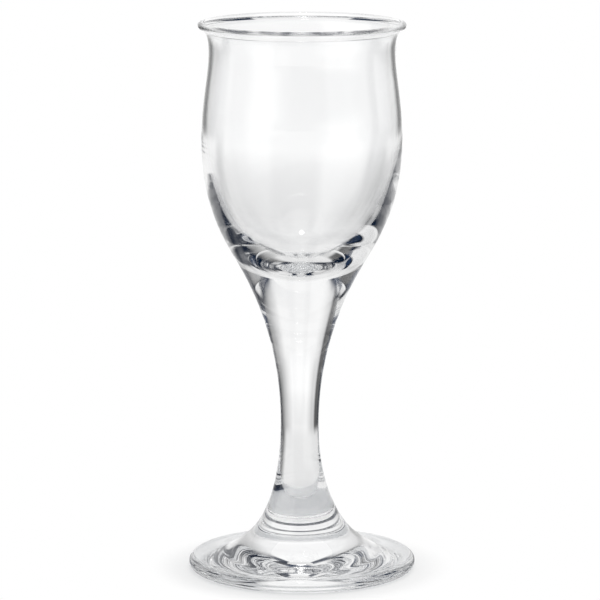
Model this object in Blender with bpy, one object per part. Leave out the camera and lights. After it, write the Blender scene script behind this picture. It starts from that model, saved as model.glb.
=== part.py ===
"""Liqueur glass: a blown tulip bowl, a drawn stem and a spun foot, fused into one stemmed glass.

Units are metres, +Z is up, and the origin is the centre of the foot on the table.
Every piece is turned: its half section is drawn once and spun around Z.
"""

import math

import bmesh
import bpy
from mathutils import Vector
from mathutils.geometry import interpolate_bezier

# Foot
FOOT_DIAMETER = 0.0454
FOOT_EDGE_THICKNESS = 0.0022
FOOT_RISE = 0.0090
FOOT_TOP_DIAMETER = 0.0177
REST_RING_WIDTH = 0.0030
PUNT_DEPTH = 0.0010

# Stem
STEM_LENGTH = 0.0485
WAIST_DIAMETER = 0.0076
WAIST_RISE = 0.0205

# Bowl
BOWL_HEIGHT = 0.0525
BASE_THICKNESS = 0.0034
FLARE_DIAMETER = 0.0263
FLARE_RISE = 0.0056
BELLY_DIAMETER = 0.0398
BELLY_RISE = 0.0309
NECK_DIAMETER = 0.0371
NECK_DROP = 0.0059
RIM_DIAMETER = 0.0411
RIM_ROLL_RADIUS = 0.0007
WALL = 0.00085

# A fused seam is drawn with this hairline, so that each gather stays a body of its own
SEAM_GAP = 0.0003

# Angles that the outline makes with the upright: at the foot's seam, where the stem's flare turns over
# into the bowl's side, and at the rolled lip
FOOT_SEAM_LEAN = math.radians(-35)
FLARE_LEAN = math.radians(31)
LIP_LEAN = math.radians(40)

# Handle lengths of the outline's curves, as shares of the height each curve climbs: lower end, upper end
FOOT_TOP_PULL = (0.71, 0.72)
STEM_LOWER_PULL = (0.34, 0.335)
STEM_UPPER_PULL = (0.358, 0.355)
BOWL_SIDE_PULL = (0.413, 0.405)
NECK_PULL = (0.405, 0.264)
LIP_PULL = (1.06, 0.06)
LIP_INSIDE_PULL = (0.80, 0.06)
CAVITY_PULL = (0.34, 0.55)
PUNT_PULL = (4.0, 6.0)

# Facets: sides around the axis, and points along a long curve, a short curve and a half-round edge
SIDES = 60
LONG_CURVE = 9
SHORT_CURVE = 6
HALF_ROUND = 9

# Edges sharper than this show as creases
CREASE_ANGLE = math.radians(40)

# Two points nearer than this are one
SAME_POINT = 1e-6

# Heights of the seams and of the rim above the table
STEM_SEAM_Z = FOOT_RISE
BOWL_SEAM_Z = FOOT_RISE + STEM_LENGTH
RIM_Z = BOWL_SEAM_Z + BOWL_HEIGHT

UPRIGHT = 0.0
LEVEL_OUT = math.radians(90)
LEVEL_IN = math.radians(-90)


def at(radius, height):
    """Point of a half section, drawn in the XZ plane."""
    return Vector((radius, 0.0, height))


# Points of the half section that the outline passes on its way up
FOOT_TOP = at(FOOT_TOP_DIAMETER / 2, STEM_SEAM_Z)
WAIST = at(WAIST_DIAMETER / 2, STEM_SEAM_Z + WAIST_RISE)
FLARE = at(FLARE_DIAMETER / 2, BOWL_SEAM_Z + FLARE_RISE)
BELLY = at(BELLY_DIAMETER / 2, BOWL_SEAM_Z + BELLY_RISE)
NECK = at(NECK_DIAMETER / 2, RIM_Z - NECK_DROP)


def heading(lean):
    """Upward direction in the half section, leaning outwards from the upright by an angle."""
    return Vector((math.sin(lean), 0.0, math.cos(lean)))


def curve(low, low_lean, high, high_lean, pull, count):
    """Points of one smooth stretch of outline that climbs from low to high, with both ends."""
    climb = high.z - low.z
    low_handle = low + heading(low_lean) * climb * pull[0]
    high_handle = high - heading(high_lean) * climb * pull[1]
    return interpolate_bezier(low, low_handle, high_handle, high, count)


def half_round(centre, radius, first_lean):
    """Points of a half circle, up and inwards from where an outline leaning first_lean meets it."""
    points = []
    for step in range(HALF_ROUND):
        lean = first_lean - math.pi * step / (HALF_ROUND - 1)
        points.append(centre + Vector((math.cos(lean), 0.0, -math.sin(lean))) * radius)
    return points


def chain(*stretches):
    """One outline from stretches in order, where a stretch shares the point that the last one ended on."""
    outline = []
    for stretch in stretches:
        for point in stretch:
            if not outline or (point - outline[-1]).length > SAME_POINT:
                outline.append(point)
    return outline


def trimmed(outline, lowest, highest):
    """The outline cut level at two heights, with each end moved along its own edge to the cut."""
    kept = [point for point in outline if lowest < point.z < highest]
    below = [point for point in outline if point.z <= lowest]
    above = [point for point in outline if point.z >= highest]
    if below:
        kept.insert(0, level_cut(below[-1], kept[0], lowest))
    if above:
        kept.append(level_cut(kept[-1], above[0], highest))
    return kept


def level_cut(low, high, height):
    """Where the straight edge from low to high passes a height."""
    return low.lerp(high, (height - low.z) / (high.z - low.z))


def foot_outline():
    """Half section of the foot: resting ring, shallow hollow underneath, round edge, rising top."""
    edge_radius = FOOT_EDGE_THICKNESS / 2
    edge_centre = at(FOOT_DIAMETER / 2 - edge_radius, edge_radius)
    ring_inside = at(edge_centre.x - REST_RING_WIDTH, 0.0)
    punt_top = at(0.0, PUNT_DEPTH)
    hollow = curve(ring_inside, LEVEL_IN, punt_top, LEVEL_IN, PUNT_PULL, SHORT_CURVE)
    edge = half_round(edge_centre, edge_radius, LEVEL_OUT)
    edge.reverse()
    top = curve(edge[0], LEVEL_IN, FOOT_TOP, FOOT_SEAM_LEAN, FOOT_TOP_PULL, LONG_CURVE)
    top_z = STEM_SEAM_Z - SEAM_GAP / 2
    top = trimmed(top, 0.0, top_z)
    top.reverse()
    return chain([at(0.0, top_z)], top, edge, hollow)


def rim_roll():
    """Points of the rolled rim, from the outside of the lip over the top to the inside."""
    centre = at(RIM_DIAMETER / 2 - RIM_ROLL_RADIUS, RIM_Z - RIM_ROLL_RADIUS)
    return half_round(centre, RIM_ROLL_RADIUS, LIP_LEAN)


def outer_side():
    """Outside of stem and bowl in one sweep: lower flare, waist, upper flare, belly, neck, lip."""
    return chain(
        curve(FOOT_TOP, FOOT_SEAM_LEAN, WAIST, UPRIGHT, STEM_LOWER_PULL, LONG_CURVE),
        curve(WAIST, UPRIGHT, FLARE, FLARE_LEAN, STEM_UPPER_PULL, LONG_CURVE),
        curve(FLARE, FLARE_LEAN, BELLY, UPRIGHT, BOWL_SIDE_PULL, LONG_CURVE),
        curve(BELLY, UPRIGHT, NECK, UPRIGHT, NECK_PULL, SHORT_CURVE),
        curve(NECK, UPRIGHT, rim_roll()[0], LIP_LEAN, LIP_PULL, LONG_CURVE),
    )


def stem_outline():
    """Half section of the solid stem: lower flare, waist, upper flare, with a flat seam at both ends."""
    bottom_z = STEM_SEAM_Z + SEAM_GAP / 2
    top_z = BOWL_SEAM_Z - SEAM_GAP / 2
    side = trimmed(outer_side(), bottom_z, top_z)
    side.reverse()
    return chain([at(0.0, top_z)], side, [at(0.0, bottom_z)])


def bowl_outline():
    """Half section of the bowl: up the cavity, over the rolled rim and down the outside to the seam."""
    roll = rim_roll()
    wall = at(WALL, 0.0)
    cavity_floor = at(0.0, BOWL_SEAM_Z + BASE_THICKNESS)
    inside = chain(
        curve(cavity_floor, LEVEL_OUT, BELLY - wall, UPRIGHT, CAVITY_PULL, LONG_CURVE),
        curve(BELLY - wall, UPRIGHT, NECK - wall, UPRIGHT, NECK_PULL, SHORT_CURVE),
        curve(NECK - wall, UPRIGHT, roll[-1], LIP_LEAN, LIP_INSIDE_PULL, LONG_CURVE),
    )
    bottom_z = BOWL_SEAM_Z + SEAM_GAP / 2
    outside = trimmed(outer_side(), bottom_z, RIM_Z)

    roll.reverse()
    outside.reverse()
    return chain(inside, roll, outside, [at(0.0, bottom_z)])


def turned(name, outline, seat_z, material, parent):
    """A solid of revolution from its half section, with its origin on the axis at seat_z."""
    model = bmesh.new()
    points = [model.verts.new(point - at(0.0, seat_z)) for point in outline]
    edges = [model.edges.new(pair) for pair in zip(points, points[1:])]
    bmesh.ops.spin(model, geom=points + edges, cent=(0, 0, 0), axis=(0, 0, 1), dvec=(0, 0, 0),
                   angle=math.tau, steps=SIDES, use_merge=True)
    bmesh.ops.remove_doubles(model, verts=model.verts, dist=SAME_POINT)
    bmesh.ops.recalc_face_normals(model, faces=model.faces)

    mesh = bpy.data.meshes.new(name)
    model.to_mesh(mesh)
    model.free()
    mesh.shade_smooth()
    mesh.set_sharp_from_angle(angle=CREASE_ANGLE)
    mesh.materials.append(material)

    piece = bpy.data.objects.new(name, mesh)
    piece.location = (0.0, 0.0, seat_z)
    piece.parent = parent
    bpy.context.collection.objects.link(piece)
    return piece


def clear_glass(name):
    """Clear colourless glass with a fire-polished surface."""
    material = bpy.data.materials.new(name)
    material.use_nodes = True
    shader = material.node_tree.nodes["Principled BSDF"]
    shader.inputs["Base Color"].default_value = (0.97, 0.985, 0.985, 1.0)
    shader.inputs["Roughness"].default_value = 0.0
    shader.inputs["Metallic"].default_value = 0.0
    shader.inputs["IOR"].default_value = 1.52
    shader.inputs["Transmission Weight"].default_value = 1.0
    return material


def main():
    for old in list(bpy.data.objects):
        bpy.data.objects.remove(old, do_unlink=True)

    glass = bpy.data.objects.new("liqueur_glass", None)
    bpy.context.collection.objects.link(glass)

    turned("foot", foot_outline(), 0.0, clear_glass("foot_glass"), glass)
    turned("stem", stem_outline(), STEM_SEAM_Z, clear_glass("stem_glass"), glass)
    turned("bowl", bowl_outline(), BOWL_SEAM_Z, clear_glass("bowl_glass"), glass)


main()
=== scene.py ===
# %% [markdown]
# # A clear liqueur glass
# The glass is three gathers of clear glass, melted together: a blown bowl, a drawn stem and a spun foot.
# Clear glass has no colour of its own, so almost all that the eye sees is the room, bent by the surface.
# That sets the plan: get the half section right, turn it into a fine smooth surface, then build the room.
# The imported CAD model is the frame. It fixes where the pieces are and how large they may be.

import math

import bpy
import numpy as np
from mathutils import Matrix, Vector


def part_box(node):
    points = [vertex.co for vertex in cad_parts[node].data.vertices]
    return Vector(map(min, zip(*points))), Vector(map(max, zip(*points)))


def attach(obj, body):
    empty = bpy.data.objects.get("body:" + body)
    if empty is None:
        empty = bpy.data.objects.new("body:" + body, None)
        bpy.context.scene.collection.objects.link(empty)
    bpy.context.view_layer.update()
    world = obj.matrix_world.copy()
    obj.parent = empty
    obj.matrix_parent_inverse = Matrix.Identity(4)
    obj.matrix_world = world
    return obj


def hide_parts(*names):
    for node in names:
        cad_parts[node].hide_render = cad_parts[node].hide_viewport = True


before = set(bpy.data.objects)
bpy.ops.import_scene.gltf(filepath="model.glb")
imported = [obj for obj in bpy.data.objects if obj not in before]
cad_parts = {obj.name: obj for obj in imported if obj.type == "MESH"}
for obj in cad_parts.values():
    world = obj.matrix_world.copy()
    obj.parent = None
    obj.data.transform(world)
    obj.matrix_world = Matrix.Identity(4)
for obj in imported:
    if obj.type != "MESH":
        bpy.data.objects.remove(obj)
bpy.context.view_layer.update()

# %% [markdown]
# ## Sizes that the frame fixes
# The CAD keeps a hairline between its bodies, where the real gathers are fused. A render would show that
# hairline as a mirror, because light meets air there. So each seam of the visual model lies in the middle
# of its hairline, and the pieces on both sides reach it.

# %% Seams and outer sizes from the CAD nodes
foot_low, foot_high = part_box("foot")
stem_low, stem_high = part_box("stem")
bowl_low, bowl_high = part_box("bowl")

FOOT_RADIUS = foot_high.x
RIM_RADIUS = bowl_high.x
RIM_Z = bowl_high.z
FOOT_SEAM_Z = (foot_high.z + stem_low.z) / 2
BOWL_SEAM_Z = (stem_high.z + bowl_low.z) / 2
print("seams at", round(FOOT_SEAM_Z, 5), round(BOWL_SEAM_Z, 5), "rim at", round(RIM_Z, 5))

# %% [markdown]
# ## Curves for a half section
# A glass-worker's outline has no straight lines: each stretch leaves one point at some lean and arrives at
# the next at another. A cubic curve with two handles draws just that. Its handle lengths, the pull, are
# shares of the height that the curve climbs, so a taller glass keeps the same character.
# Points are (radius, height) pairs in metres, and a lean is the angle from the upright, outwards.

# %% Outline helpers
UPRIGHT, LEVEL_OUT, LEVEL_IN = 0.0, 90.0, -90.0


def heading(lean):
    """Direction (sin lean, cos lean) in the half section: upright at 0 degrees, outwards at 90."""
    return np.array([math.sin(math.radians(lean)), math.cos(math.radians(lean))])


def climb(low, low_lean, high, high_lean, pull, count):
    """Cubic from low to high: sum of P_k C(3,k) (1-t)^(3-k) t^k, with handles along the two leans."""
    low, high = np.array(low), np.array(high)
    rise = high[1] - low[1]
    near_low = low + heading(low_lean) * rise * pull[0]
    near_high = high - heading(high_lean) * rise * pull[1]
    t = np.linspace(0, 1, count)[:, None]
    shares = np.hstack([(1 - t) ** 3, 3 * (1 - t) ** 2 * t, 3 * (1 - t) * t ** 2, t ** 3])
    return shares @ np.stack([low, near_low, near_high, high])


def half_round(centre, radius, first_lean, count):
    """Half circle: centre + radius (cos a, -sin a), with a from first_lean back through 180 degrees."""
    angle = np.radians(first_lean) - np.pi * np.linspace(0, 1, count)
    return np.array(centre) + radius * np.stack([np.cos(angle), -np.sin(angle)], axis=1)


print("heading 90 degrees:", heading(LEVEL_OUT).round(3))

# %% [markdown]
# ## The foot
# The foot is spun from its own gather while it is soft. It stands on a flat ring of a few millimetres, and
# it is slightly hollow inside that ring, so that a table which isn't quite flat can't make it rock. Its edge
# is melted round. From the edge the top rises gently and then turns up into the stem. The hollow is hidden,
# but it bends the light in the foot, so its shape was chosen by the swirls that it makes there.

# %% Foot outline, from the middle of the underside to the foot's seam
FOOT_EDGE = 0.0026
REST_RING = 0.0065
PUNT_DEPTH = 0.0012
FOOT_TOP_RADIUS = 0.00885
FOOT_SEAM_LEAN = -35.0

edge_centre = (FOOT_RADIUS - FOOT_EDGE / 2, FOOT_EDGE / 2)
ring_inside = (edge_centre[0] - REST_RING, 0.0)
hollow = climb(ring_inside, LEVEL_IN, (0.0, PUNT_DEPTH), LEVEL_IN, (1.6, 9.0), 48)[::-1]
foot_edge = half_round(edge_centre, FOOT_EDGE / 2, LEVEL_OUT, 25)
foot_top = climb(foot_edge[-1], LEVEL_IN, (FOOT_TOP_RADIUS, FOOT_SEAM_Z), FOOT_SEAM_LEAN, (0.71, 0.72), 56)
print("foot outline:", len(hollow) + len(foot_edge) + len(foot_top), "points")

# %% [markdown]
# ## The stem
# The stem is drawn out of the hot base of the bowl, which leaves a waist low down and a long flare above.
# One curve could draw it, but two that meet upright at the waist let its width and height be set directly.

# %% Stem outline, from the foot's seam to where the flare turns over into the bowl
WAIST_RADIUS, WAIST_Z = 0.0038, FOOT_SEAM_Z + 0.0205
FLARE_RADIUS, FLARE_Z, FLARE_LEAN = 0.01315, BOWL_SEAM_Z + 0.0056, 31.0

lower_stem = climb(foot_top[-1], FOOT_SEAM_LEAN, (WAIST_RADIUS, WAIST_Z), UPRIGHT, (0.34, 0.335), 56)
upper_stem = climb(lower_stem[-1], UPRIGHT, (FLARE_RADIUS, FLARE_Z), FLARE_LEAN, (0.358, 0.355), 72)
print("waist", WAIST_RADIUS * 2000, "mm across at", round(WAIST_Z * 1000, 2), "mm")

# %% [markdown]
# ## The bowl
# The bowl is blown, so its wall is thin and even above, and the glass that isn't blown thin stays below as
# a heavy base. The cavity ends in a rounded floor deep inside that base. At the top the wall narrows to a
# neck and then turns out into a rolled, fire-polished rim. The flare below the rim is short: most of the
# neck is upright, and the turn comes in the last two millimetres. A Solidify modifier would give an even
# wall and no base, so the cavity is drawn as an outline of its own.

# %% Bowl outline: up the outside, over the rim, down the cavity to its floor
BELLY_RADIUS, BELLY_Z = 0.0199, BOWL_SEAM_Z + 0.0309
NECK_RADIUS, NECK_Z = 0.01855, RIM_Z - 0.0059
WALL = 0.00085
RIM_ROLL, LIP_LEAN = 0.0007, 40.0
CAVITY_FLOOR_Z = BOWL_SEAM_Z + 0.0034
NECK_PULL = (0.405, 0.264)

rim = half_round((RIM_RADIUS - RIM_ROLL, RIM_Z - RIM_ROLL), RIM_ROLL, LIP_LEAN, 33)
side = climb(upper_stem[-1], FLARE_LEAN, (BELLY_RADIUS, BELLY_Z), UPRIGHT, (0.413, 0.405), 56)
neck = climb(side[-1], UPRIGHT, (NECK_RADIUS, NECK_Z), UPRIGHT, NECK_PULL, 40)
lip = climb(neck[-1], UPRIGHT, rim[0], LIP_LEAN, (1.06, 0.06), 40)
cavity = climb((0.0, CAVITY_FLOOR_Z), LEVEL_OUT, (BELLY_RADIUS - WALL, BELLY_Z), UPRIGHT, (0.34, 0.55), 96)
neck_inside = climb(cavity[-1], UPRIGHT, (NECK_RADIUS - WALL, NECK_Z), UPRIGHT, NECK_PULL, 40)
lip_inside = climb(neck_inside[-1], UPRIGHT, rim[-1], LIP_LEAN, (0.80, 0.06), 40)
print("cavity floor at", round(CAVITY_FLOOR_Z * 1000, 2), "mm, wall", WALL * 1000, "mm")

# %% [markdown]
# ## One outline, cut at the seams
# The three pieces are one body of glass, so their outline is one line: from the middle of the underside,
# out and up to the rim, and back down the cavity to its floor. A point is added exactly at the bowl's seam,
# which lies along the stem's upper curve. The foot's seam is already the end of a curve.

# %% Join the stretches and find the seams
stretches = [hollow, foot_edge, foot_top, lower_stem, upper_stem, side, neck, lip, rim,
             lip_inside[::-1], neck_inside[::-1], cavity[::-1]]
outline = np.vstack([stretches[0]] + [stretch[1:] for stretch in stretches[1:]])

foot_seam = len(hollow) + len(foot_edge) + len(foot_top) - 3
above = foot_seam + np.argmax(outline[foot_seam:, 1] > BOWL_SEAM_Z)
around_seam = outline[above - 1:above + 1]
seam_radius = np.interp(BOWL_SEAM_Z, around_seam[:, 1], around_seam[:, 0])
outline = np.insert(outline, above, (seam_radius, BOWL_SEAM_Z), axis=0)
bowl_seam = above
print(len(outline), "points, seams at rows", foot_seam, bowl_seam)
print("radius of the bowl's seam:", round(seam_radius * 1000, 2), "mm")

# %% [markdown]
# ## Turning the outline
# A lathe is a function of two parameters: the place along the outline and the angle round the axis. The
# whole glass is worked out as one grid of points, and its normals come from the grid's own slopes. The
# pieces are then rows of that grid, so two pieces share their seam's points and normals exactly, and light
# that passes a seam isn't bent there. Hand-worked glass is never quite true: on this one the stem stands
# about half a millimetre to the left of the line from foot to rim, so the grid is pushed sideways by height.

# %% The whole glass as a grid
SEGMENTS = 192
STEM_DRIFT = -0.00047
DRIFT_STARTS, DRIFT_ENDS = (0.004, 0.024), (0.02, 0.10)
angle = np.arange(SEGMENTS) / SEGMENTS * math.tau


def smooth_step(value, start, end):
    """3 t^2 - 2 t^3 with t = (value - start) / (end - start), held between 0 and 1."""
    t = np.clip((value - start) / (end - start), 0, 1)
    return t * t * (3 - 2 * t)


def turned_grid(outline, angle):
    """Points (r cos a, r sin a, z) for every outline row and every angle."""
    radius, height = outline[:, :1], outline[:, 1:]
    return np.stack([radius * np.cos(angle), radius * np.sin(angle), height + 0 * angle], axis=2)


def drifted(points):
    """Points with x + drift * up(z) * (1 - down(z)): one smooth step above the foot, one to the neck."""
    height = points[:, :, 2]
    share = smooth_step(height, *DRIFT_STARTS) * (1 - smooth_step(height, *DRIFT_ENDS))
    return points + STEM_DRIFT * share[:, :, None] * np.array([1.0, 0.0, 0.0])


def grid_normals(points):
    """Cross product of the slope round the axis and the slope along the outline, made unit length."""
    round_axis = np.roll(points, -1, axis=1) - np.roll(points, 1, axis=1)
    along = np.gradient(points, axis=0)
    normals = np.cross(round_axis, along)
    return normals / np.maximum(np.linalg.norm(normals, axis=2, keepdims=True), 1e-12)


glass_points = drifted(turned_grid(outline, angle))
glass_normals = grid_normals(glass_points)
print("grid", glass_points.shape, "highest point", round(glass_points[:, :, 2].max(), 5))

# %% [markdown]
# ## Cutting out a piece
# A piece is a run of the grid's rows, closed at both ends by a fan of triangles to a point on the axis.
# Where the end is a seam, the fan lies inside the fused glass. It gets a second material, which is
# invisible, so that the piece is a closed body of its own and yet the light sees one glass. The outline's
# first and last points lie on the axis, so the runs of the foot and the bowl stop one row before them.

# %% Mesh of one piece
SURFACE, SEAM = 0, 1
here = np.arange(SEGMENTS)
following = np.roll(here, -1)


def lathe_quads(rows):
    """Quads (row, angle), (row, angle + 1), (row + 1, angle + 1), (row + 1, angle), as point numbers."""
    row = np.arange(rows)[:, None] * SEGMENTS
    next_row = row + SEGMENTS
    corners = [row + here, row + following, next_row + following, next_row + here]
    return np.stack(corners, axis=2).reshape(-1, 4)


def cut_piece(name, first, last, low_seam, high_seam):
    """Rows first to last of the grid as quads, with a fan of triangles at each end of the run."""
    points = glass_points[first:last + 1].reshape(-1, 3)
    normals = glass_normals[first:last + 1].reshape(-1, 3)
    last_ring = (last - first) * SEGMENTS
    low_pole, high_pole = np.full(SEGMENTS, len(points)), np.full(SEGMENTS, len(points) + 1)
    low_fan = np.stack([low_pole, following, here], axis=1)
    high_fan = np.stack([high_pole, last_ring + here, last_ring + following], axis=1)
    poles = [glass_points[first].mean(axis=0), glass_points[last].mean(axis=0)]
    axis_normals = [(0.0, 0.0, -1.0), (0.0, 0.0, 1.0)]

    mesh = bpy.data.meshes.new(name)
    faces = lathe_quads(last - first).tolist() + low_fan.tolist() + high_fan.tolist()
    mesh.from_pydata(np.vstack([points, poles]).tolist(), [], faces)
    finish = np.full(len(faces), SURFACE)
    finish[-2 * SEGMENTS:-SEGMENTS] = SEAM if low_seam else SURFACE
    finish[-SEGMENTS:] = SEAM if high_seam else SURFACE
    mesh.polygons.foreach_set("material_index", finish)
    mesh.shade_smooth()
    mesh.normals_split_custom_set_from_vertices(np.vstack([normals, axis_normals]).tolist())
    piece = bpy.data.objects.new(name, mesh)
    bpy.context.scene.collection.objects.link(piece)
    return piece


last_row = len(outline) - 2
foot = cut_piece("foot_glass", 1, foot_seam, False, True)
stem = cut_piece("stem_glass", foot_seam, bowl_seam, True, True)
bowl = cut_piece("bowl_glass", bowl_seam, last_row, True, False)
pieces = {"foot": foot, "stem": stem, "bowl": bowl}
print({name: len(piece.data.polygons) for name, piece in pieces.items()}, "faces")

# %% [markdown]
# ## Ripple in the surface
# Fire-polished glass is smooth to the touch, but reflections in it wander, because the skin froze while it
# was still moving. Over a length of some millimetres the ripple is a few microns high on bowl and stem, and
# some hundredths of a millimetre on the foot, which is too low to model as shape. It is a node group, so
# each piece can stretch it the way that its glass was worked: the blown bowl is even, the stem is drawn
# lengthwise and the foot is spun.

# %% Node group for the ripple
def ripple_group():
    """Height from 0 to 1: smooth noise on Object coordinates, stretched by a vector."""
    group = bpy.data.node_groups.new("worked_ripple", "ShaderNodeTree")
    group.interface.new_socket("Stretch", in_out="INPUT", socket_type="NodeSocketVector")
    group.interface.new_socket("Height", in_out="OUTPUT", socket_type="NodeSocketFloat")
    nodes, links = group.nodes, group.links
    given = nodes.new("NodeGroupInput")
    result = nodes.new("NodeGroupOutput")
    place = nodes.new("ShaderNodeTexCoord")
    stretch = nodes.new("ShaderNodeVectorMath")
    stretch.operation = "MULTIPLY"
    noise = nodes.new("ShaderNodeTexNoise")
    noise.inputs["Scale"].default_value = 1.0
    noise.inputs["Detail"].default_value = 1.0
    links.new(place.outputs["Object"], stretch.inputs[0])
    links.new(given.outputs["Stretch"], stretch.inputs[1])
    links.new(stretch.outputs["Vector"], noise.inputs["Vector"])
    links.new(noise.outputs["Fac"], result.inputs["Height"])
    return group


ripple = ripple_group()
print("group", ripple.name, [socket.name for socket in ripple.interface.items_tree])

# %% [markdown]
# ## Clear glass
# The finish is a Principled BSDF with full transmission, no roughness and the index of refraction of
# soda-lime glass. One change is needed for the floor's sake: a lamp doesn't find its way through refracting
# glass, and the shadow would be black. For shadow rays alone the glass is a pale filter.

# %% Glass material
IOR = 1.52
GLASS_TINT = (0.997, 0.999, 1.0, 1.0)
SHADOW_TINT = (0.78, 0.79, 0.80, 1.0)
BOWL_STRETCH, BOWL_RIPPLE = (120.0, 120.0, 60.0), 0.000006
STEM_STRETCH, STEM_RIPPLE = (300.0, 300.0, 40.0), 0.000006
FOOT_STRETCH, FOOT_RIPPLE = (90.0, 90.0, 90.0), 0.000070


def clear_glass(name, stretch, ripple_height):
    """Principled glass with the ripple as a bump, and a pale filter in its place for shadow rays."""
    material = bpy.data.materials.new(name)
    material.use_nodes = True
    nodes, links = material.node_tree.nodes, material.node_tree.links
    shader = nodes["Principled BSDF"]
    shader.inputs["Base Color"].default_value = GLASS_TINT
    shader.inputs["Roughness"].default_value = 0.0
    shader.inputs["IOR"].default_value = IOR
    shader.inputs["Transmission Weight"].default_value = 1.0

    height = nodes.new("ShaderNodeGroup")
    height.node_tree = ripple
    height.inputs["Stretch"].default_value = stretch
    bump = nodes.new("ShaderNodeBump")
    bump.inputs["Strength"].default_value = 1.0
    bump.inputs["Distance"].default_value = ripple_height
    links.new(height.outputs["Height"], bump.inputs["Height"])
    links.new(bump.outputs["Normal"], shader.inputs["Normal"])

    light_path = nodes.new("ShaderNodeLightPath")
    filter_ = nodes.new("ShaderNodeBsdfTransparent")
    filter_.inputs["Color"].default_value = SHADOW_TINT
    mix = nodes.new("ShaderNodeMixShader")
    links.new(light_path.outputs["Is Shadow Ray"], mix.inputs["Fac"])
    links.new(shader.outputs["BSDF"], mix.inputs[1])
    links.new(filter_.outputs["BSDF"], mix.inputs[2])
    links.new(mix.outputs["Shader"], nodes["Material Output"].inputs["Surface"])
    return material


glass = {
    "bowl": clear_glass("blown_clear_glass", BOWL_STRETCH, BOWL_RIPPLE),
    "stem": clear_glass("drawn_clear_glass", STEM_STRETCH, STEM_RIPPLE),
    "foot": clear_glass("spun_clear_glass", FOOT_STRETCH, FOOT_RIPPLE),
}
print("finishes:", [material.name for material in glass.values()])

# %% [markdown]
# ## Fused seams
# Inside a fused seam there is no surface at all. A plain Transparent BSDF lets every ray go straight on.
# Then each piece gets its two materials, rides on the frame's one body and stands for its CAD node. The
# floor's own light doesn't meet the pieces, because only lamps should make the shadow.

# %% Seam material, and the pieces on the frame
def bare_material(name):
    """Material with nodes, of which only the output is left, and its nodes and links."""
    material = bpy.data.materials.new(name)
    material.use_nodes = True
    nodes = material.node_tree.nodes
    nodes.remove(nodes["Principled BSDF"])
    return material, nodes, material.node_tree.links


fused, nodes, links = bare_material("fused_seam")
through = nodes.new("ShaderNodeBsdfTransparent")
links.new(through.outputs["BSDF"], nodes["Material Output"].inputs["Surface"])

for node, piece in pieces.items():
    piece.data.materials.append(glass[node])
    piece.data.materials.append(fused)
    piece.visible_diffuse = False
    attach(piece, "root")
    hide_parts(node)
print("pieces on the frame:", sorted(pieces))

# %% [markdown]
# ## Floor
# The glass stands on white. To the camera the floor is plain white from about a centimetre beyond the foot.
# Closer in, most of its brightness is lamplight, so the foot keeps a soft shadow. A Mix Shader weighs the
# two by the distance from the middle of the foot. All other rays find a matt floor.

# %% Floor
FLOOR_HALF = 8.0
FLOOR_COLOUR = (0.9, 0.9, 0.9, 1.0)
SHADOW_REACH = (0.0225, 0.031)
WHITE_AT_FOOT = 0.35


def origin_distance(nodes, links):
    """Distance from the middle of the foot's underside: the length of the Object coordinates."""
    place = nodes.new("ShaderNodeTexCoord")
    distance = nodes.new("ShaderNodeVectorMath")
    distance.operation = "LENGTH"
    links.new(place.outputs["Object"], distance.inputs[0])
    return distance.outputs["Value"]


def eased_share(nodes, links, value, near, far, low=0.0):
    """Share that rises from low to 1 by a smooth step, as a value goes from near to far."""
    share = nodes.new("ShaderNodeMapRange")
    share.interpolation_type = "SMOOTHSTEP"
    share.inputs["From Min"].default_value = near
    share.inputs["From Max"].default_value = far
    share.inputs["To Min"].default_value = low
    links.new(value, share.inputs["Value"])
    return share.outputs["Result"]


floor_paint, nodes, links = bare_material("white_floor")
matt = nodes.new("ShaderNodeBsdfDiffuse")
matt.inputs["Color"].default_value = FLOOR_COLOUR
white = nodes.new("ShaderNodeEmission")
light_path = nodes.new("ShaderNodeLightPath")
weight = nodes.new("ShaderNodeMath")
weight.operation = "MULTIPLY"
links.new(light_path.outputs["Is Camera Ray"], weight.inputs[0])
whiteness = eased_share(nodes, links, origin_distance(nodes, links), *SHADOW_REACH, WHITE_AT_FOOT)
links.new(whiteness, weight.inputs[1])
blend = nodes.new("ShaderNodeMixShader")
links.new(weight.outputs["Value"], blend.inputs["Fac"])
links.new(matt.outputs["BSDF"], blend.inputs[1])
links.new(white.outputs["Emission"], blend.inputs[2])
links.new(blend.outputs["Shader"], nodes["Material Output"].inputs["Surface"])

corners = np.array([(-1, -1, 0), (1, -1, 0), (1, 1, 0), (-1, 1, 0)]) * FLOOR_HALF
floor_mesh = bpy.data.meshes.new("floor")
floor_mesh.from_pydata(corners.tolist(), [], [(0, 1, 2, 3)])
floor_mesh.materials.append(floor_paint)
floor = bpy.data.objects.new("floor", floor_mesh)
bpy.context.scene.collection.objects.link(floor)
print("floor", 2 * FLOOR_HALF, "m wide")

# %% [markdown]
# ## The studio's floor
# Clear glass on white is lit from behind: a white backdrop shines through it, and dark cards at the sides
# draw its edges. One softbox on the left gives the long soft bands on the bowl. The studio here is a drum, a
# floor disc and a round wall, which only reflected and refracted rays can see. Lamps and hung cards could do
# the same, but a drum needs no lamp of its own and shows every side at once.
# Its brightness goes by the compass angle: a list of cards gives it, each with the angles between which it
# keeps its level, and from one card to the next the level runs evenly. Angle 0 is straight behind the glass,
# and it counts up towards the left. The floor has two lists, one close to the foot and one for the table
# round it, because the foot and the stem want different cards.

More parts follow.
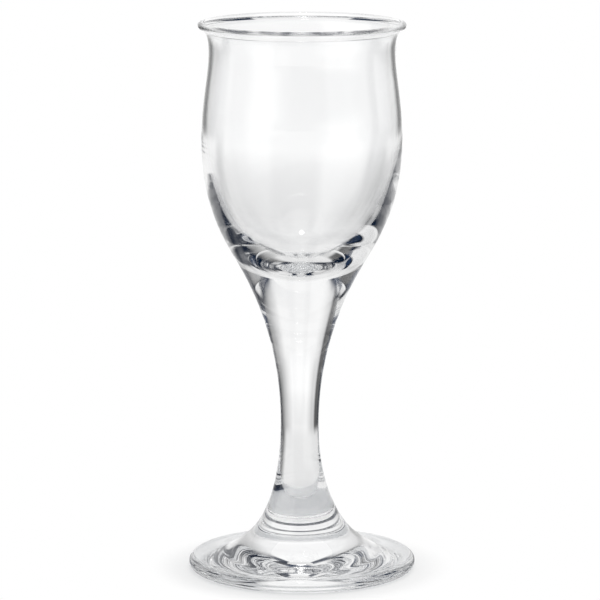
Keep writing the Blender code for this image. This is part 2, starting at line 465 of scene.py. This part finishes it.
# %% Cards on the floor
NEAR_FLOOR_CARDS = (
    ("white strip in front", -180, -172, 0.80),
    ("black strip in front, right", -164, -154, 0.02),
    ("white sheet, front right", -150, -118, 0.95),
    ("black cloth on the right", -108, -70, 0.01),
    ("floor behind, right", -52, -46, 0.25),
    ("floor behind", -30, 60, 1.0),
    ("black cloth on the left", 70, 98, 0.03),
    ("floor by the softbox", 108, 136, 0.70),
    ("black strip in front, left", 144, 156, 0.02),
    ("white strip in front", 168, 180, 0.80),
)
TABLE_CARDS = (
    ("black cloth in front", -180, -168, 0.01),
    ("white sheet, front right", -152, -118, 0.95),
    ("black cloth on the right", -98, -66, 0.01),
    ("thin edge of the table", -54, -54, 0.18),
    ("right edge of the table", -40, -40, 0.48),
    ("right wing of the table", -28, -28, 0.74),
    ("white table", -14, 14, 1.06),
    ("left wing of the table", 26, 34, 0.76),
    ("dark card on the left", 40, 52, 0.14),
    ("black cloth on the left", 58, 78, 0.01),
    ("light of the softbox", 85, 142, 0.80),
    ("black cloth in front", 150, 180, 0.01),
)
print("cards by the foot and on the table:", len(NEAR_FLOOR_CARDS), len(TABLE_CARDS))

# %% [markdown]
# ## The studio's wall
# The wall has two lists as well. Low down it carries the backdrop, the softbox and the dark room behind the
# camera. High up it stands for the ceiling, which the upper side of the foot and the base of the bowl
# mirror.

# %% Cards on the wall
WALL_CARDS = (
    ("dark room behind the camera", -180, -168, 0.01),
    ("black card on the right", -152, -68, 0.01),
    ("thin edge of the backdrop", -54, -54, 0.26),
    ("right wing of the backdrop", -40, -40, 0.54),
    ("backdrop", -22, 24, 0.96),
    ("left wing of the backdrop", 35, 35, 0.72),
    ("dark card on the left", 40, 56, 0.14),
    ("black card on the left", 65, 76, 0.03),
    ("softbox on the left", 85, 146, 0.90),
    ("dark room behind the camera", 158, 180, 0.01),
)
CEILING_CARDS = (
    ("front of the ceiling", -180, -165, 0.05),
    ("right of the ceiling", -140, -95, 0.03),
    ("right wing of the ceiling", -34, -32, 0.02),
    ("back of the ceiling", -26, 24, 1.0),
    ("left wing of the ceiling", 30, 32, 0.02),
    ("left of the ceiling", 72, 90, 0.06),
    ("top of the softbox", 112, 142, 0.95),
    ("front of the ceiling", 165, 180, 0.05),
)
print("cards on the wall and above:", len(WALL_CARDS), len(CEILING_CARDS))

# %% [markdown]
# ## From cards to colours
# A Color Ramp turns a list of cards into colours over one turn of the compass. Dark cards are never plain
# grey under daylight lamps: the darker they are, the more they lean to blue, and the glass shows that in its
# base. Cards from a certain level up are neutral.

# %% Ramps and compass
NIGHT_BLUE = np.array([0.2, 0.85, 2.4])
NEUTRAL_LEVEL = 0.12


def card_colour(level):
    """Grey of a level, which leans to blue below NEUTRAL_LEVEL, as black cards do under daylight lamps."""
    share = min(1.0, level / NEUTRAL_LEVEL)
    return (*(level * (share + (1 - share) * NIGHT_BLUE)).tolist(), 1.0)


def card_ramp(nodes, links, turn, cards):
    """Colour ramp over one turn, with a stop at the start and at the end of each card."""
    node = nodes.new("ShaderNodeValToRGB")
    node.color_ramp.interpolation = "LINEAR"
    stops = node.color_ramp.elements
    stops.remove(stops[1])
    stops[0].position = 0.0
    stops[0].color = card_colour(cards[0][3])
    for _, start, end, level in cards:
        for bearing in sorted({start, end}):
            stop = stops.new((bearing + 180) / 360)
            stop.color = card_colour(level)
    links.new(turn, node.inputs["Fac"])
    return node.outputs["Color"]


def compass_turn(nodes, links):
    """Share of a turn: (atan2(-x, y) / 2 pi) + 1/2, which is 1/2 straight behind the glass."""
    place = nodes.new("ShaderNodeTexCoord")
    split = nodes.new("ShaderNodeSeparateXYZ")
    mirror = nodes.new("ShaderNodeMath")
    mirror.operation = "MULTIPLY"
    mirror.inputs[1].default_value = -1.0
    bearing = nodes.new("ShaderNodeMath")
    bearing.operation = "ARCTAN2"
    turn = nodes.new("ShaderNodeMath")
    turn.operation = "MULTIPLY_ADD"
    turn.inputs[1].default_value = 1 / math.tau
    turn.inputs[2].default_value = 0.5
    links.new(place.outputs["Object"], split.inputs["Vector"])
    links.new(split.outputs["X"], mirror.inputs[0])
    links.new(mirror.outputs["Value"], bearing.inputs[0])
    links.new(split.outputs["Y"], bearing.inputs[1])
    links.new(bearing.outputs["Value"], turn.inputs[0])
    return turn.outputs["Value"], split.outputs["Z"]


print("colour of a black card:", [round(part, 4) for part in card_colour(0.01)])

# %% [markdown]
# ## Paint of the drum
# The four lists follow each other outwards and upwards: by the foot, table, wall, ceiling. Each gives over
# to the next by a smooth step between two distances or two heights. The floor part is painted a little
# darker
# towards the glass: painted shade for the light that the glass and its foot take from it.

# %% Material of the drum
NEAR_FLOOR = (0.09, 0.13)
FLOOR_PAINTED_SHADE = (0.02, 0.50, 0.84)
LOW_WALL = (0.02, 0.20)
TALL_WALL = (0.70, 1.30)


def eased_mix(nodes, links, value, limits, low_colour, high_colour):
    """Colour that goes from low to high by a smooth step, as a value passes between two limits."""
    mix = nodes.new("ShaderNodeMix")
    mix.data_type = "RGBA"
    links.new(eased_share(nodes, links, value, *limits), mix.inputs["Factor"])
    links.new(low_colour, mix.inputs["A"])
    links.new(high_colour, mix.inputs["B"])
    return mix.outputs["Result"]


drum_light, nodes, links = bare_material("studio_cards")
turn, height = compass_turn(nodes, links)
near, table, wall, ceiling = [card_ramp(nodes, links, turn, cards) for cards in
                              (NEAR_FLOOR_CARDS, TABLE_CARDS, WALL_CARDS, CEILING_CARDS)]
distance = origin_distance(nodes, links)
floor_part = nodes.new("ShaderNodeVectorMath")
floor_part.operation = "SCALE"
links.new(eased_mix(nodes, links, distance, NEAR_FLOOR, near, table), floor_part.inputs[0])
# Painted shade: the glow of the drum's floor part is scaled down towards the glass.
links.new(eased_share(nodes, links, distance, *FLOOR_PAINTED_SHADE), floor_part.inputs["Scale"])
wall_part = eased_mix(nodes, links, height, LOW_WALL, floor_part.outputs["Vector"], wall)
glow = nodes.new("ShaderNodeEmission")
links.new(eased_mix(nodes, links, height, TALL_WALL, wall_part, ceiling), glow.inputs["Color"])
links.new(glow.outputs["Emission"], nodes["Material Output"].inputs["Surface"])
print("drum material:", len(nodes), "nodes")

# %% [markdown]
# ## The drum
# The drum itself is a lathe again, with only a few rows. It starts outside the foot, so that the floor under
# the foot stays the real one, and it lies a hair above the floor. The camera, the lamps and the floor's own
# light don't meet it.

# %% Drum
DRUM_RADIUS, DRUM_TOP, DRUM_INNER, DRUM_LIFT = 1.3, 2.4, 0.0236, 0.0004
UP_AND_IN = [0, 3, 2, 1]


def studio_lathe(name, outline, paint):
    """Lathe of an outline, with the corners of its quads in the order that turns them up and inwards."""
    points = turned_grid(np.array(outline), angle).reshape(-1, 3)
    quads = lathe_quads(len(outline) - 1)[:, UP_AND_IN]
    mesh = bpy.data.meshes.new(name)
    mesh.from_pydata(points.tolist(), [], quads.tolist())
    mesh.materials.append(paint)
    lathe = bpy.data.objects.new(name, mesh)
    lathe.visible_camera = False
    lathe.visible_diffuse = False
    lathe.visible_shadow = False
    bpy.context.scene.collection.objects.link(lathe)
    return lathe


drum_outline = [(DRUM_INNER, DRUM_LIFT), (0.1, DRUM_LIFT), (0.4, DRUM_LIFT),
                (DRUM_RADIUS, DRUM_LIFT), (DRUM_RADIUS, 0.5), (DRUM_RADIUS, DRUM_TOP)]
drum = studio_lathe("studio_drum", drum_outline, drum_light)
print("drum", DRUM_RADIUS * 2, "m across,", DRUM_TOP, "m tall")

# %% [markdown]
# ## A ring for the bowl
# The stem wants dark cards close by, for its strong edges. The bowl wants white, because its thin wall is
# nearly invisible against plain white, with only a thin dark flag on each side. So the bowl gets a table of
# its own: a flat ring at the height of its base, which only shows its upper side. Rays that leave the bowl
# come down on it, and rays that leave the stem and the foot pass it from below.
# Close to the glass the ring is pale nearly all round, with a black cloth to the left and to the right.
# Farther out it carries a dark flag on each side behind the glass, and beside each flag a bright reflector,
# which makes up for the light that the steep sides of the bowl turn away.

# %% Cards of the ring
INNER_RING_CARDS = (
    ("front of the ring", -180, -168, 0.50),
    ("white sheet, front right", -156, -114, 1.0),
    ("black cloth on the right", -98, -76, 0.01),
    ("right side of the ring", -64, -22, 0.90),
    ("white ring", -7, 7, 1.06),
    ("left side of the ring", 22, 64, 1.0),
    ("black cloth on the left", 70, 78, 0.01),
    ("edge of the softbox", 85, 100, 0.88),
    ("light of the softbox", 110, 142, 1.05),
    ("front of the ring", 150, 180, 0.50),
)
OUTER_RING_CARDS = (
    ("front of the ring", -180, -168, 0.50),
    ("white sheet, front right", -150, -120, 0.70),
    ("black cloth on the right", -98, -66, 0.01),
    ("thin edge of the ring", -54, -54, 0.18),
    ("right flag", -36, -20, 0.26),
    ("outer end of the right reflector", -18, -18, 1.11),
    ("inner end of the right reflector", -4, -4, 1.03),
    ("inner end of the left reflector", 4, 4, 1.03),
    ("outer end of the left reflector", 18, 18, 1.06),
    ("left flag", 20, 36, 0.26),
    ("dark card on the left", 40, 52, 0.14),
    ("black cloth on the left", 58, 78, 0.01),
    ("edge of the softbox", 85, 100, 0.88),
    ("light of the softbox", 110, 142, 0.85),
    ("front of the ring", 150, 180, 0.50),
)
print("cards close by and farther out:", len(INNER_RING_CARDS), len(OUTER_RING_CARDS))

# %% [markdown]
# ## Paint of the ring
# The two lists give over to each other as on the drum, and this table too is painted a little darker towards
# the glass, as painted shade. The Geometry node's Backfacing is 1 on the underside, where a Transparent BSDF
# lets all rays pass.
# The inner edge fades out over some centimetres, since a sharp edge would look like a line of liquid in the
# bowl.

# %% Material of the ring
INNER_RING = (0.16, 0.34)
RING_PAINTED_SHADE = (0.07, 0.17, 0.83)
RING_EDGE = (0.020, 0.046)


def axis_distance(nodes, links):
    """Distance from the upright axis: the length of the Object coordinates without their height."""
    place = nodes.new("ShaderNodeTexCoord")
    flat = nodes.new("ShaderNodeVectorMath")
    flat.operation = "MULTIPLY"
    flat.inputs[1].default_value = (1.0, 1.0, 0.0)
    distance = nodes.new("ShaderNodeVectorMath")
    distance.operation = "LENGTH"
    links.new(place.outputs["Object"], flat.inputs[0])
    links.new(flat.outputs["Vector"], distance.inputs[0])
    return distance.outputs["Value"]


ring_paint, nodes, links = bare_material("bowl_ring")
turn, _ = compass_turn(nodes, links)
inner = card_ramp(nodes, links, turn, INNER_RING_CARDS)
outer = card_ramp(nodes, links, turn, OUTER_RING_CARDS)
distance = origin_distance(nodes, links)
glow = nodes.new("ShaderNodeEmission")
links.new(eased_mix(nodes, links, distance, INNER_RING, inner, outer), glow.inputs["Color"])
# Painted shade: the ring's glow is weaker towards the glass.
links.new(eased_share(nodes, links, distance, *RING_PAINTED_SHADE), glow.inputs["Strength"])

side_seen = nodes.new("ShaderNodeNewGeometry")
upper_side = nodes.new("ShaderNodeMath")
upper_side.operation = "SUBTRACT"
upper_side.inputs[0].default_value = 1.0
cover = nodes.new("ShaderNodeMath")
cover.operation = "MULTIPLY"
links.new(side_seen.outputs["Backfacing"], upper_side.inputs[1])
links.new(upper_side.outputs["Value"], cover.inputs[0])
links.new(eased_share(nodes, links, axis_distance(nodes, links), *RING_EDGE), cover.inputs[1])

open_air = nodes.new("ShaderNodeBsdfTransparent")
one_sided = nodes.new("ShaderNodeMixShader")
links.new(cover.outputs["Value"], one_sided.inputs["Fac"])
links.new(open_air.outputs["BSDF"], one_sided.inputs[1])
links.new(glow.outputs["Emission"], one_sided.inputs[2])
links.new(one_sided.outputs["Shader"], nodes["Material Output"].inputs["Surface"])
print("ring material:", len(nodes), "nodes")

# %% [markdown]
# ## The ring
# The ring is the same kind of lathe as the drum, with rows at one height. It starts inside the soft edge and
# ends just inside the drum's wall.

# %% Ring
RING_Z = 0.054
RING_ROWS = (0.014, 0.12, 0.40, 1.29)

ring = studio_lathe("bowl_ring", [(radius, RING_Z) for radius in RING_ROWS], ring_paint)
print("ring at", RING_Z * 1000, "mm, from", RING_ROWS[0], "to", RING_ROWS[-1], "m")

# %% [markdown]
# ## Lamps
# A wide soft lamp overhead lights the floor and makes the shadow. The glass doesn't see it, because the
# ceiling cards stand for it there. A small round lamp, almost straight above, leaves the bright dot low in
# the bowl.

# %% Lamps
TARGET = Vector((0.0, 0.0, 0.03))
OVERHEAD_SIZE, OVERHEAD_WATTS, OVERHEAD_PLACE = 0.5, 4.6, (0.06, 0.15, 0.70)
DOT_SIZE, DOT_WATTS, DOT_PLACE = 0.085, 0.16, (-0.01, -0.02, 0.75)


def area_lamp(name, shape, size, power, place):
    """Area lamp of a size and power at a place, aimed at the lower part of the glass."""
    light = bpy.data.lights.new(name, "AREA")
    light.shape = shape
    light.size = size
    light.energy = power
    lamp = bpy.data.objects.new(name, light)
    lamp.location = place
    lamp.rotation_euler = (TARGET - lamp.location).to_track_quat("-Z", "Y").to_euler()
    bpy.context.scene.collection.objects.link(lamp)
    return lamp


overhead = area_lamp("overhead_softbox", "SQUARE", OVERHEAD_SIZE, OVERHEAD_WATTS, OVERHEAD_PLACE)
overhead.visible_glossy = False
overhead.visible_transmission = False
dot_lamp = area_lamp("small_round_lamp", "DISK", DOT_SIZE, DOT_WATTS, DOT_PLACE)
print("lamps:", overhead.name, dot_lamp.name)

# %% [markdown]
# ## Sky
# The world is plain white to the camera. In the glass it is a little dimmer and shows only above the drum,
# and on the floor it is much dimmer, so that the lamps make the shadow. The Light Path node tells these rays
# apart.

# %% World
SKY_IN_GLASS = 0.85
SKY_ON_FLOOR = 0.20
world = bpy.data.worlds.new("white_sky")
world.use_nodes = True
bpy.context.scene.world = world
nodes, links = world.node_tree.nodes, world.node_tree.links
light_path = nodes.new("ShaderNodeLightPath")
dim = nodes.new("ShaderNodeMapRange")
dim.inputs["To Min"].default_value = SKY_IN_GLASS
dim.inputs["To Max"].default_value = SKY_ON_FLOOR
strength = nodes.new("ShaderNodeMath")
strength.operation = "MAXIMUM"
links.new(light_path.outputs["Is Diffuse Ray"], dim.inputs["Value"])
links.new(dim.outputs["Result"], strength.inputs[0])
links.new(light_path.outputs["Is Camera Ray"], strength.inputs[1])
nodes["Background"].inputs["Color"].default_value = (1.0, 1.0, 1.0, 1.0)
links.new(strength.outputs["Value"], nodes["Background"].inputs["Strength"])
print("sky in the glass", SKY_IN_GLASS, "and on the floor", SKY_ON_FLOOR)

# %% [markdown]
# ## Camera
# The photograph looks about ten degrees down, from a good distance, with a long lens. The camera stands a
# fraction of a millimetre to the left, because the glass sits that much right of the middle of the picture.

# %% Camera
LENS = 215.13
CAMERA_PLACE = (-0.0004, -0.7025, 0.1814)
LOOKING_DOWN = 10.243

camera = bpy.data.objects.new("camera", bpy.data.cameras.new("camera"))
camera.data.lens = LENS
camera.data.clip_start = 0.01
camera.location = CAMERA_PLACE
camera.rotation_euler = (math.radians(90 - LOOKING_DOWN), 0.0, 0.0)
bpy.context.scene.collection.objects.link(camera)
bpy.context.scene.camera = camera
print("camera at", CAMERA_PLACE, "lens", LENS, "mm")

# %% [markdown]
# ## Rendering
# A ray can bounce many times inside the thick base before it gets out, and a ray that enters the rim can be
# guided down inside the thin wall over more than a hundred bounces. With lower limits such rays end black.
# The Standard view transform keeps white as white.

# %% Render settings, sizes and the end
BOUNCES = 160
scene = bpy.context.scene
scene.view_settings.view_transform = "Standard"
scene.cycles.max_bounces = BOUNCES
scene.cycles.transmission_bounces = BOUNCES
scene.cycles.glossy_bounces = BOUNCES
scene.cycles.transparent_max_bounces = BOUNCES
scene.cycles.use_denoising = True

bpy.context.view_layer.update()
